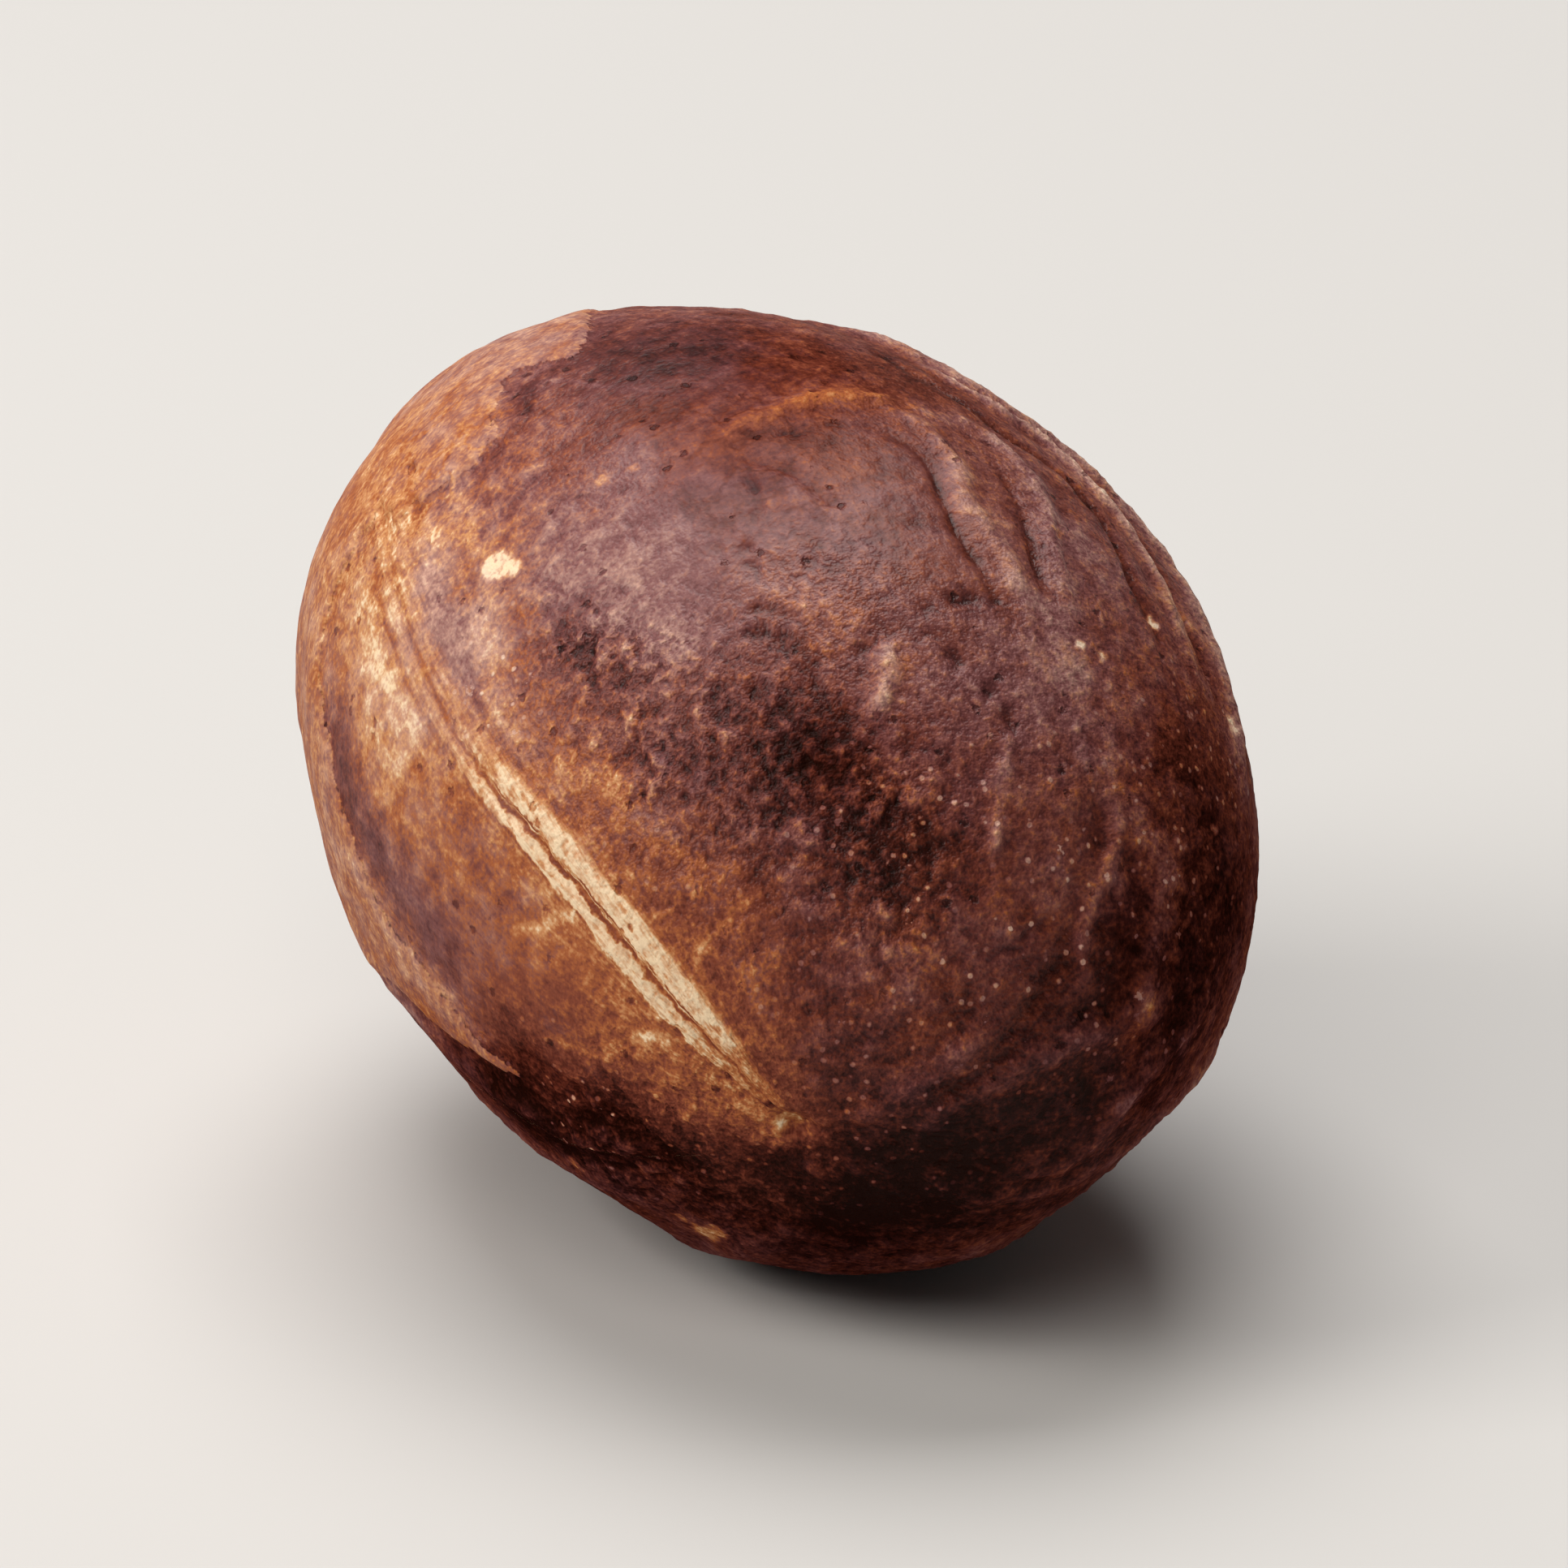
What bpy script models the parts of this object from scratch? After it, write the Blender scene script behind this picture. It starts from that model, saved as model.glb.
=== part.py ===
"""Whole nutmeg, the dried seed of Myristica fragrans in its hard brown shell, lying on its side.

The object's own frame has its long axis along Z, with the hilum end, where the seed hung from its stalk, at +Z.
In the world the nutmeg lies on a floor at Z = 0 with the hilum end towards -Y and dipping a little, on one small
flat spot, and it is centred over the origin.

The relief follows the grain of the shell. Every groove and ridge runs from the hilum to the chalaza, the two scars
of the seed, so a place on the shell is given by its reach, which is 0 at the hilum and grows without end towards
the chalaza, and by its turn, the angle about the hilum counted from the raphe, the pale seam between the scars.
"""

import math

import bmesh
import bpy
import numpy as np

# Driving sizes, in metres.
LENGTH = 0.0311
WIDTH = 0.0230
REST_SPOT_DEPTH = 0.00030

# Form of the body: how much the hilum end narrows, and how far the lying nutmeg dips towards it.
TAPER = 0.05
DIP = math.radians(10)

# The two scars, as an angle from the long axis at the hilum end and an angle round it from local +X, in degrees.
HILUM = (35.7, -167.3)
CHALAZA = (155.0, 124.0)
SEAM_MIDDLE = (85.0, 157.5)

# Broad lumps and flats of the body: angle from the long axis, angle round it, height in metres, width in degrees.
LUMPS = (
    (126, 150, 0.00018, 26),
    (52, -108, 0.00030, 24),
    (60, 18, 0.00010, 24),
    (112, 60, -0.00032, 30),
    (38, -50, -0.00036, 24),
    (94, -146, -0.00028, 20),
    (119, -168, -0.00030, 15),
    (141, 110, 0.00020, 14),
    (110, -60, 0.00022, 34),
)

# The seam: two rounded lips beside a narrow furrow. Offsets, widths and heights across it, in metres.
SEAM_LIPS = ((-0.00042, 0.00022, 0.00020), (0.00056, 0.00040, 0.00024))
SEAM_FURROW = (0.0, 0.00020, -0.00016)

# Ridges left between the bands of mace: turn in degrees at the hilum end, the middle and the chalaza end, first and
# last reach, height and half width in metres.
RIDGES = (
    (98, 96, 91, 0.75, 2.0, 0.00020, 0.00050),
    (113, 107, 98, 0.12, 2.4, 0.00024, 0.00052),
    (126, 127, 108, 0.18, 3.0, 0.00028, 0.00058),
    (152, 138, 116, 0.35, 4.0, 0.00026, 0.00060),
    (168, 160, 150, 0.25, 5.0, 0.00026, 0.00075),
    (190, 186, 176, 0.20, 4.0, 0.00030, 0.00070),
    (206, 209, 204, 0.50, 5.0, 0.00024, 0.00080),
    (230, 232, 236, 0.22, 3.5, 0.00030, 0.00075),
    (258, 256, 262, 0.30, 2.6, 0.00024, 0.00070),
    (276, 280, 290, 0.25, 1.8, 0.00020, 0.00070),
)

RIDGE_SHARE_AT_HILUM = 0.45

# Scars: radius and depth of the hollow, and height of its rim, in metres.
HILUM_SCAR = (0.0011, 0.00028, 0.00012)
CHALAZA_SCAR = (0.0017, 0.00045, 0.00020)

# The sphere's columns stand closer together beside the seam: each term of this many takes this share of the gap.
COLUMNS = 96
ROWS = 50
CROWDING_TERMS = 3
CROWDING_SHARE = 0.22

SHELL_COLOUR = (0.105, 0.040, 0.026, 1.0)
SHELL_ROUGHNESS = 0.42

CUTTER_SIDE = 0.02


def direction(place):
    """Unit vector to a place given as an angle from +Z and an angle round it, in degrees."""
    from_axis, around = math.radians(place[0]), math.radians(place[1])
    level = math.sin(from_axis)
    return np.array([level * math.cos(around), level * math.sin(around), math.cos(from_axis)])


class Grain:
    """Grain coordinates on the unit sphere: a stereographic plane seen from the chalaza, as polar
    coordinates about the hilum, with the seam's middle at reach 1 and turn 0."""

    def __init__(self):
        self.pole = direction(CHALAZA)
        self.first = np.cross(self.pole, (0, 0, 1))
        self.first /= np.linalg.norm(self.first)
        self.second = np.cross(self.pole, self.first)
        self.start = self.flat(direction(HILUM))
        self.unit = self.flat(direction(SEAM_MIDDLE)) - self.start

    def flat(self, n):
        """Place of unit vectors n on the stereographic plane, as complex numbers."""
        return (n @ self.first + 1j * (n @ self.second)) / (1 - n @ self.pole)

    def to_sphere(self, reach, turn):
        """Unit vectors at grain coordinates, the turn in radians."""
        plane = self.start + self.unit * reach * np.exp(1j * turn)
        square = np.abs(plane) ** 2
        level = 2 * np.stack([plane.real, plane.imag], -1)
        raised = level @ np.stack([self.first, self.second]) + (square - 1)[..., None] * self.pole
        return raised / (square + 1)[..., None]


def body_points(n):
    """The smooth body: an ellipsoid of the driving sizes, narrowed in proportion towards +Z."""
    narrow = 1 - TAPER * n[..., 2]
    round_part = n[..., :2] * (WIDTH / 2 * narrow)[..., None]
    return np.concatenate([round_part, n[..., 2:] * LENGTH / 2], -1)


def body_normals(n):
    """Outward unit normals of the ellipsoid under the body, which differ little from the body's own."""
    scaled = n / np.array([WIDTH / 2, WIDTH / 2, LENGTH / 2])
    return scaled / np.linalg.norm(scaled, axis=-1, keepdims=True)


def bell(distance, width):
    """A smooth rise of height 1 that falls to 0.37 at the given width."""
    return np.exp(-((distance / width) ** 2))


def smooth_step(x, low, high):
    """0 below low, 1 above high and a smooth S between them."""
    t = np.clip((x - low) / (high - low), 0, 1)
    return t * t * (3 - 2 * t)


def lump_height(n):
    """Sum of the broad lumps, each a bell of the angle from its middle."""
    height = np.zeros(n.shape[:-1])
    for from_axis, around, rise, width in LUMPS:
        angle = np.arccos(np.clip(n @ direction((from_axis, around)), -1, 1))
        height += rise * bell(angle, math.radians(width))
    return height


def offset_from(grain, points, reach, turn, line_turn):
    """Signed distance in metres from points to the line of given turn at the same reach."""
    line = body_points(grain.to_sphere(reach, line_turn))
    side = np.sin(turn - line_turn)
    behind = np.cos(turn - line_turn) < 0
    distance = np.linalg.norm(points - line, axis=-1)
    return np.where(behind, 1.0, distance * np.sign(side))


def seam_height(offset, reach):
    """The seam's lips and furrow across its line, fading out at both scars."""
    lips = sum(rise * bell(offset - middle, width) for middle, width, rise in SEAM_LIPS)
    middle, width, rise = SEAM_FURROW
    fade = smooth_step(reach, 0.03, 0.16) * (1 - 0.55 * smooth_step(reach, 0.9, 2.2))
    return (lips + rise * bell(offset - middle, width)) * fade * (1 - smooth_step(reach, 5, 9))


def ridge_turn(ridge, reach):
    """A ridge's turn in radians: a parabola through its three turns, over the angle that the reach stands for."""
    near, middle, far = (math.radians(x) for x in ridge[:3])
    along = np.arctan(reach) / (math.pi / 2)
    return near * (1 - along) * (1 - 2 * along) + middle * 4 * along * (1 - along) + far * along * (2 * along - 1)


def ridge_height(grain, points, reach, turn):
    """Sum of the ridges, each a bell across its line that fades out at both ends. They are finer at the hilum,
    where they crowd together."""
    height = np.zeros(reach.shape)
    grown = RIDGE_SHARE_AT_HILUM + (1 - RIDGE_SHARE_AT_HILUM) * smooth_step(reach, 0.1, 0.7)
    for ridge in RIDGES:
        first, last, rise, width = ridge[3:]
        offset = offset_from(grain, points, reach, turn, ridge_turn(ridge, reach))
        fade = smooth_step(reach, first * 0.5, first * 1.3) * (1 - smooth_step(reach, last * 0.7, last * 1.4))
        height += rise * grown * bell(offset, width * grown) * fade
    return height


def scar_height(n, place, sizes):
    """A round hollow with a raised rim."""
    radius, depth, rim = sizes
    distance = np.linalg.norm(body_points(n) - body_points(direction(place)), axis=-1)
    return rim * bell(distance - 1.3 * radius, 0.45 * radius) - depth * bell(distance, 0.8 * radius)


def shell_points(reach, turn):
    """Points of the nutmeg's surface in its own frame: the smooth body, moved along its normal by the relief."""
    grain = Grain()
    n = grain.to_sphere(reach, turn)
    points = body_points(n)
    height = lump_height(n)
    height += seam_height(offset_from(grain, points, reach, turn, np.zeros(reach.shape)), reach)
    height += ridge_height(grain, points, reach, turn)
    height += scar_height(n, HILUM, HILUM_SCAR) + scar_height(n, CHALAZA, CHALAZA_SCAR)
    return points + body_normals(n) * height[..., None]


def brown_shell():
    """Material of the hard, slightly glossy seed coat."""
    material = bpy.data.materials.new("nutmeg_shell")
    material.use_nodes = True
    shader = material.node_tree.nodes["Principled BSDF"]
    shader.inputs["Base Color"].default_value = SHELL_COLOUR
    shader.inputs["Roughness"].default_value = SHELL_ROUGHNESS
    shader.inputs["Metallic"].default_value = 0.0
    return material


def make_nutmeg(collection):
    """A UV sphere whose top and bottom poles are slid to the hilum and the chalaza, then given the shell's form."""
    mesh = bpy.data.meshes.new("nutmeg")
    form = bmesh.new()
    bmesh.ops.create_uvsphere(form, u_segments=COLUMNS, v_segments=ROWS, radius=1)
    form.to_mesh(mesh)
    form.free()

    sphere = np.empty(len(mesh.vertices) * 3)
    mesh.vertices.foreach_get("co", sphere)
    sphere = sphere.reshape(-1, 3)
    reach = np.tan(np.arccos(np.clip(sphere[:, 2], -1, 1)) / 2)
    column = np.arctan2(sphere[:, 1], sphere[:, 0])
    crowding = sum(CROWDING_SHARE / k * np.sin(k * column) for k in range(1, CROWDING_TERMS + 1))
    points = shell_points(reach, column - crowding)
    mesh.vertices.foreach_set("co", points.ravel())
    mesh.update()
    mesh.shade_smooth()
    mesh.materials.append(brown_shell())

    nutmeg = bpy.data.objects.new("nutmeg", mesh)
    nutmeg.rotation_euler = (math.pi / 2 + DIP, 0, 0)
    collection.objects.link(nutmeg)
    lay_down(nutmeg, points)
    return nutmeg


def lay_down(nutmeg, points):
    """Centres the turned nutmeg over the origin and sinks it by the depth of its rest spot."""
    turned = points @ np.array(nutmeg.rotation_euler.to_matrix()).T
    low, high = turned.min(0), turned.max(0)
    nutmeg.location = (-(low[0] + high[0]) / 2, -(low[1] + high[1]) / 2, -low[2] - REST_SPOT_DEPTH)


def cut_rest_spot(nutmeg, cutters):
    """Cuts away what reaches below the floor, which leaves the small flat spot that the nutmeg rests on."""
    mesh = bpy.data.meshes.new("floor_cutter")
    form = bmesh.new()
    bmesh.ops.create_cube(form, size=CUTTER_SIDE)
    form.to_mesh(mesh)
    form.free()
    cutter = bpy.data.objects.new("floor_cutter", mesh)
    cutter.location = (0, 0, -CUTTER_SIDE / 2)
    cutter.hide_render = True
    cutter.display_type = "WIRE"
    cutters.objects.link(cutter)
    cut = nutmeg.modifiers.new("rest_spot", "BOOLEAN")
    cut.operation = "DIFFERENCE"
    cut.object = cutter


def new_collection(name):
    collection = bpy.data.collections.new(name)
    bpy.context.scene.collection.children.link(collection)
    return collection


def main():
    for old in list(bpy.data.objects):
        bpy.data.objects.remove(old)
    nutmeg = make_nutmeg(new_collection("whole_nutmeg"))
    cut_rest_spot(nutmeg, new_collection("cutters"))


main()
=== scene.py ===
"""Looks of a whole nutmeg in its shell: one fine skin in place of the plain solid, on a pale studio floor.

A place on the shell is given in one of two ways. A spot is (angle from the long axis at the hilum end,
angle round it), in degrees. A grain place is (reach, turn): the grain runs from the hilum, where the seed
hung, to the chalaza at the far end, the reach grows along it from 0 without end, and the turn is the angle
about the hilum, counted in degrees from the pale seam between the two scars. Lengths are in millimetres
until the mesh is filled.
"""

import itertools
import math

import bpy
import numpy as np
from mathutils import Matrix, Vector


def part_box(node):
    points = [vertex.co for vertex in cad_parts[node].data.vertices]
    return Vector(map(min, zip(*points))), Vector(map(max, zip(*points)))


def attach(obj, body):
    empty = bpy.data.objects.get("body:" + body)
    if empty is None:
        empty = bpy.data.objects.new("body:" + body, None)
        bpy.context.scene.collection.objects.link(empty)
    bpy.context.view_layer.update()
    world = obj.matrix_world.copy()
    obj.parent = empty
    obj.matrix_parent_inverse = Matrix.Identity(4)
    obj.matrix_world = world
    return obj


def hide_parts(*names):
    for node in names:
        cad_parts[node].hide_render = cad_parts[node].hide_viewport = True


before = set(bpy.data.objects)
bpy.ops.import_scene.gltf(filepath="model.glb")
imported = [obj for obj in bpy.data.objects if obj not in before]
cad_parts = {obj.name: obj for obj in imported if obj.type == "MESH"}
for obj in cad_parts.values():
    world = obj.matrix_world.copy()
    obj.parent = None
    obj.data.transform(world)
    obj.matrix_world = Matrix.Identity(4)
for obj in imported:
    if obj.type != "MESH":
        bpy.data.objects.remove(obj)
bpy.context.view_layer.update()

MM = 0.001

# The body, as the solid has it.
LENGTH = 31.1
WIDTH = 23.0
TAPER = 0.05
DIP = math.radians(10)
HILUM = (35.7, -167.3)
CHALAZA = (155.0, 124.0)
SEAM_MIDDLE = (85.0, 157.5)

# The skin's grid: rings from scar to scar and columns round them, which crowd at a turn, over a width.
RINGS = 240
COLUMNS = 414
COLUMN_CROWDING = ((55, 80, 0.8), (4, 14, 0.9))
# What the grid is measured by: samples along the grain and round it, the step between samples round it for
# the rings, and the reaches for the columns. Then the reaches of the two vertices at the scars.
GRID_SAMPLES = 721
ROUGH_STEP = 20
GIRTH_REACHES = (0.5, 1.0, 2.0)
POLE_REACHES = (1e-6, 1e6)

# Broad lumps and flats: a spot, the width in degrees and the height.
LUMPS = (
    (126, 150, 26, 0.18),
    (52, -108, 24, 0.30),
    (60, 18, 24, 0.10),
    (112, 60, 30, -0.32),
    (38, -50, 24, -0.36),
    (94, -146, 20, -0.28),
    (119, -168, 15, -0.30),
    (141, 110, 14, 0.20),
    (110, -60, 34, 0.22),
)

# Crests and grooves on the right that carry colour as well as relief, as lines through grain places.
LONG_CREST = ((2.14, 113), (1.96, 113), (1.80, 116), (1.66, 121), (1.41, 123), (1.19, 124), (0.95, 126))
MIDDLE_CREST = ((0.94, 78), (0.85, 78), (0.75, 75))
LOW_CREST = ((0.80, 95), (0.70, 93.5), (0.62, 93.5), (0.55, 94))
LEFT_GROOVE = ((1.62, 89), (1.46, 93), (1.33, 94), (1.15, 94), (1.00, 96))
MIDDLE_GROOVE = ((1.62, 102), (1.47, 104), (1.36, 105), (1.27, 104), (1.18, 103), (1.02, 102))
RIGHT_GROOVE = ((2.40, 104), (1.95, 107), (1.68, 110), (1.51, 117), (1.37, 118), (1.22, 118), (1.00, 119))

# Ridges and grooves as lines through grain places: height, half width, then the places.
RIDGE_LINES = (
    (0.17, 0.32, ((1.72, 93), (1.56, 97), (1.46, 98), (1.31, 97), (1.22, 98), (1.13, 99), (0.95, 100))),
    (0.16, 0.24, ((1.67, 102), (1.61, 106), (1.46, 109), (1.36, 109), (1.26, 107), (1.16, 106),
                  (0.95, 105))),
    (0.22, 0.26, LONG_CREST),
    (0.28, 0.46, ((2.90, 110), (2.30, 115), (1.95, 118), (1.70, 127), (1.45, 132), (1.15, 133),
                  (0.85, 136))),
    (0.14, 0.32, ((1.64, 67), (1.72, 75), (1.75, 84), (1.72, 93), (1.68, 100))),
    (0.18, 0.26, MIDDLE_CREST),
    (0.20, 0.18, LOW_CREST),
    (0.18, 0.28, ((0.76, 112), (0.66, 112), (0.58, 112), (0.51, 116), (0.48, 124))),
    (0.15, 0.40, ((0.76, 116), (0.68, 122), (0.60, 127), (0.50, 134))),
    (0.16, 0.40, ((0.08, 118), (0.14, 114), (0.24, 111), (0.36, 112))),
    (0.20, 0.45, ((0.12, 134), (0.20, 127), (0.30, 124), (0.41, 126), (0.52, 131), (0.66, 133))),
    (0.20, 0.50, ((0.26, 158), (0.39, 155), (0.46, 148), (0.56, 142), (0.75, 142))),
    (0.16, 0.45, ((0.15, 165), (0.25, 168), (0.40, 166), (0.62, 158), (0.95, 154))),
    (0.10, 0.26, ((0.56, 61), (0.49, 59))),
    (0.10, 0.28, ((0.45, 74), (0.38, 72), (0.33, 75))),
    (0.12, 0.60, ((0.20, 190), (0.50, 189), (1.10, 186), (2.20, 180), (4.00, 176))),
    (0.12, 0.65, ((0.45, 206), (0.90, 209), (1.80, 208), (3.60, 203), (6.00, 200))),
    (0.13, 0.60, ((0.22, 228), (0.45, 231), (0.95, 232), (1.90, 234), (3.50, 238))),
    (0.12, 0.55, ((0.30, 259), (0.60, 257), (1.10, 258), (1.90, 262), (2.80, 268))),
    (0.16, 0.50, ((0.24, 276), (0.45, 279), (0.80, 282), (1.40, 288))),
    (0.22, 0.55, ((3.60, 112), (3.00, 128), (2.40, 139), (1.80, 147), (1.25, 152))),
    (0.18, 0.50, ((6.00, 140), (4.20, 152), (3.00, 160), (2.00, 166), (1.30, 168))),
    (-0.14, 0.20, LEFT_GROOVE),
    (-0.17, 0.18, MIDDLE_GROOVE),
    (-0.17, 0.22, RIGHT_GROOVE),
    (-0.14, 0.26, ((1.85, 122), (1.55, 127), (1.25, 128), (1.02, 130))),
    (-0.10, 0.25, ((1.63, 68), (1.50, 73), (1.36, 77), (1.27, 78))),
    (-0.12, 0.30, ((0.30, 118), (0.45, 114), (0.62, 111), (0.80, 107))),
)

# Fine folds and cracks, darker along their line: height, change of tone, half width and places. They break
# off here and there.
FOLD_LINES = (
    (-0.12, -0.24, 0.12, ((1.53, 69), (1.36, 68), (1.20, 65), (1.06, 64))),
    (-0.10, -0.20, 0.12, ((1.73, 67), (1.64, 72), (1.62, 78), (1.61, 82))),
    (-0.03, -0.16, 0.12, LEFT_GROOVE),
    (-0.03, -0.16, 0.12, MIDDLE_GROOVE),
    (-0.03, -0.14, 0.12, RIGHT_GROOVE[1:]),
    (-0.10, -0.14, 0.16, ((0.94, 46), (0.95, 57), (0.91, 66), (0.92, 76), (0.97, 83))),
    (-0.09, -0.12, 0.14, ((0.99, 50), (1.01, 61), (0.96, 68), (0.89, 76))),
    (-0.14, -0.22, 0.15, ((1.05, 97), (1.04, 90), (0.96, 83))),
    (-0.18, -0.30, 0.22, ((0.96, 82), (0.92, 88), (0.87, 90), (0.82, 95), (0.76, 97))),
    (-0.14, -0.24, 0.22, ((1.24, 36), (1.15, 35), (1.08, 34), (1.00, 31), (0.88, 28))),
    (-0.10, -0.16, 0.16, ((1.10, 44), (1.02, 40), (0.92, 40), (0.82, 36))),
    (-0.08, -0.10, 0.14, ((1.22, 74), (1.12, 72), (1.04, 66), (1.00, 58))),
    (-0.10, -0.12, 0.16, ((0.74, 104), (0.64, 108), (0.52, 106), (0.42, 100))),
    (-0.10, -0.12, 0.16, ((0.62, 80), (0.52, 84), (0.44, 92))),
)

# Stripes of colour: change of tone, change of chill, half width and places.
STRIPES = (
    # the orange crest on top
    (0.08, -0.80, 0.34, ((1.62, 62), (1.70, 75), (1.74, 84), (1.72, 93), (1.65, 101))),
    # the smooth purple band beside the film, and the paler strip beyond it
    (-0.10, 0.45, 0.80, ((1.90, -31), (1.52, -34), (1.29, -36), (1.05, -37), (0.86, -39), (0.74, -41),
                         (0.60, -43))),
    (0.24, 0.20, 0.50, ((1.60, -56), (1.30, -52), (1.10, -48), (0.90, -56), (0.70, -57), (0.56, -60))),
    # fine lines along the seam
    (-0.14, -0.40, 0.11, ((0.95, 0), (1.16, 0), (1.34, 1), (1.56, 2), (1.90, 3), (2.46, 4))),
    (-0.12, -0.10, 0.09, ((2.20, -3), (1.98, -3), (1.51, -4), (1.24, -5), (1.01, -4))),
    (-0.10, 0.00, 0.10, ((1.60, 5), (1.39, 6), (1.11, 8), (0.89, 9), (0.59, 10))),
    # a greyed streak and two tan ones beside them
    (-0.06, 0.80, 0.45, ((1.00, 8), (1.28, 9), (1.52, 9), (1.70, 10), (2.10, 10))),
    (0.14, -0.10, 0.40, ((2.40, -7), (2.15, -9), (1.90, -10), (1.70, -11), (1.50, -9), (1.30, -8),
                         (1.10, -7))),
    (0.15, 0.10, 0.50, ((1.50, 18), (1.30, 16), (1.14, 14), (1.00, 11), (0.85, 12))),
    # yellow twigs that leave the seam near the hilum
    (0.19, -0.70, 0.16, ((0.30, 16), (0.34, 24), (0.37, 34), (0.41, 42), (0.46, 55))),
    (0.10, -0.40, 0.13, ((0.41, 42), (0.50, 36), (0.58, 24))),
    (0.18, -0.70, 0.16, ((0.48, 0), (0.52, -5), (0.55, -14), (0.60, -21))),
    (0.19, -0.70, 0.17, ((0.20, -6), (0.26, -15), (0.31, -37), (0.38, -42), (0.46, -43))),
    (0.04, -0.70, 0.30, ((0.07, 50), (0.16, 32), (0.30, 28), (0.45, 20))),
    # the dark chip in the film's edge, and a line of painted shade that goes on from it beside the edge
    (-0.26, 0.10, 0.34, ((3.05, 48), (2.85, 47), (2.60, 44), (2.45, 41))),
    (-0.10, -0.30, 0.30, ((2.50, 42), (2.35, 37), (2.05, 27))),
    # pale crests on the right, their paleness partly a painted highlight along them, and a red groove
    (0.14, 0.00, 0.15, LOW_CREST),
    (0.12, 0.20, 0.28, MIDDLE_CREST),
    (0.16, 0.50, 0.20, LONG_CREST[:-1]),
    (-0.10, -0.50, 0.22, RIGHT_GROOVE),
    (0.07, 0.50, 0.12, ((2.93, 49), (2.60, 55), (2.27, 61), (1.92, 71))),
    (0.08, -0.10, 0.16, ((0.74, 112), (0.66, 112), (0.58, 112), (0.51, 117))),
    (0.16, -0.50, 0.24, ((0.58, 130), (0.52, 132), (0.46, 132))),
)

# What a millimetre of ridge and of fine relief adds to the tone and to the chill: crests are painted lighter
# and greyer, a painted highlight and sheen, and hollows darker, a painted shade. Then the ridge height up
# to which the chill follows.
RIDGE_HIGHLIGHT_AND_SHADE_TONE = 0.9
TEXTURE_HIGHLIGHT_AND_SHADE_TONE = 2.2
RIDGE_SHEEN_AND_SHADE_CHILL = 2.2
TEXTURE_SHEEN_AND_SHADE_CHILL = 1.5
CHILL_RIDGE_LIMIT = 0.2

# The seam across its line, at its widest: lips as (offset, half width, height) and the furrow between them.
SEAM_LIPS = ((-0.32, 0.22, 0.10), (0.55, 0.42, 0.12))
SEAM_FURROW = (0.00, 0.13, -0.12)
# Its width along the reach: widest at one reach, down to the narrow share away from it, in a logarithmic
# range, and pointed at the hilum.
SEAM_WIDEST_REACH = 0.35
SEAM_WIDE_RANGE = 1.1
SEAM_NARROW_SHARE = 0.75
SEAM_POINT = (-0.16, 0.30)
# The furrow is straight in the middle and swings by some degrees before and after it. It wobbles by noise,
# as rows of a height, the length of the waves and a seed.
SEAM_SWING = 4
SEAM_SWING_BEFORE = (0.5, 1.0)
SEAM_SWING_AFTER = (1.3, 2.5)
SEAM_WOBBLE = ((0.09, 1.3, 67), (0.05, 0.5, 68))
# How clearly it shows along the reach: from start to full, where and by how much it fades, and where it
# ends. The other side of the nutmeg has an offset of its own.
SEAM_START = (-0.05, 0.30)
SEAM_FADE = (0.62, 1.15)
SEAM_FADE_SHARE = 0.84
SEAM_END = (3, 6)
OTHER_SIDE_OFFSET = 99.0

# Scars: radius, depth of the hollow and height of its rim. Then, in radii, how wide the hollow is, and how
# far out and how wide the rim is.
HILUM_SCAR = (0.55, 0.25, 0.06)
CHALAZA_SCAR = (1.7, 0.45, 0.20)
HOLLOW_WIDTH = 0.8
RIM_PLACE = 1.3
RIM_WIDTH = 0.45

# The pale film that is left over the back and left: its outline as spots, its thickness, the depths in from
# its outline between which it rises and the shell's own relief ends, the noise on its edge, and the places
# where the edge breaks up into islands (a spot, the width in degrees and how far they stray).
FILM_OUTLINE = (
    (150, 74), (141, 87), (131, 97), (120, 104.5), (116, 109), (118, 112), (120, 117), (117, 121),
    (113, 125), (110, 127), (109, 131), (113, 139), (118, 148), (117, 160), (111, 171), (100, -179),
    (92, -171), (83, -167), (78, -162.5), (71, -160), (79, -159), (89, -157), (99, -156), (110, -146),
    (124, -128), (140, -104), (158, -70), (166, 10),
)
FILM_THICKNESS = 0.12
FILM_RISE = (-0.10, 0.20)
SHELL_RELIEF_END = (-0.25, 0.15)
FILM_EDGE_NOISE = ((0.10, 0.8, 77), (0.05, 0.4, 78))
FILM_ISLANDS = (
    (115, 142, 13, 1.6),
    (150, -90, 30, 0.8),
    (160, 40, 20, 0.8),
)

# Noise in the relief, as (height, length of its waves, seed, layers): slow swells, leathery humps, the
# pebbles of the wrinkled parts, and grit; and the noise that strays the film's islands, without a height.
SWELLS = (0.07, 5.0, 27, 2)
LEATHER = (0.04, 1.3, 37, 3)
PEBBLES = (0.21, 0.52, 47, 2)
GRIT = (0.03, 0.6, 52, 2)
ISLAND_NOISE = (1.1, 79, 3)
# How much wrinkles add to the leather and the grit, and what the film leaves of the grit.
LEATHER_BY_WRINKLES = 0.8
GRIT_BY_WRINKLES = 0.6
GRIT_THROUGH_FILM = 0.4
# Where folds break off: the noise's length and seed, and the values from which a fold starts and is whole.
FOLD_NOISE = (0.6, 57)
FOLD_START = (-0.25, 0.15)

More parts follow.
